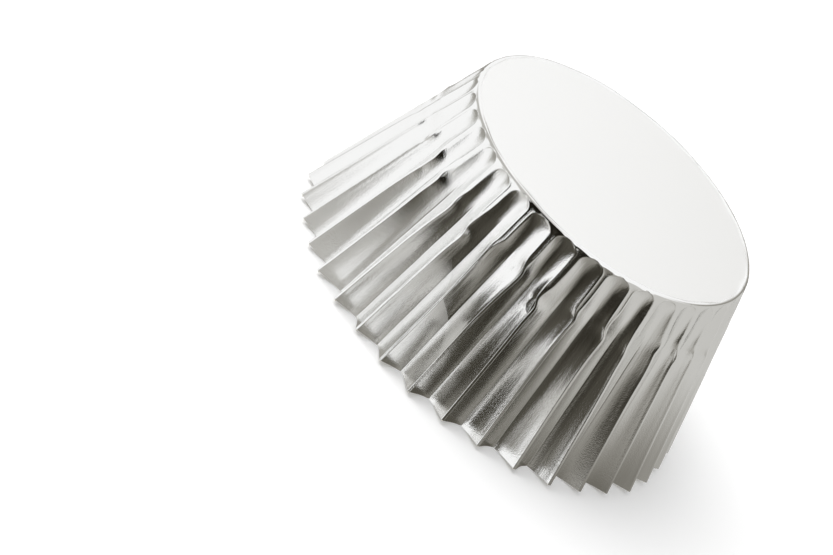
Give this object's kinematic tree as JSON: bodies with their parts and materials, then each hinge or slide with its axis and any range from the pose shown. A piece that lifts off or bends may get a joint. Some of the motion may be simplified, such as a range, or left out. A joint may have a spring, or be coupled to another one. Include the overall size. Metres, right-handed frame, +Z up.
{
  "type": "cupcake liner",
  "caption": "Pleated foil cupcake liner with a paper lining, standing mouth down on its fluted rim with its flat round base up.",
  "frame": {"origin": "centre of the mouth, on the surface that the rim stands on", "axes": "+Z up through the centre of the base, with the mouth facing down; -Y faces the side that the picture shows"},
  "size_m": [0.0686, 0.0691, 0.0313],
  "materials": {
    "foil": "bright rolled foil with a fine grain",
    "paper": "matt greaseproof paper"
  },
  "bodies": {
    "root": {"foil_cup": "foil", "paper_lining": "paper"}
  },
  "joints": []
}
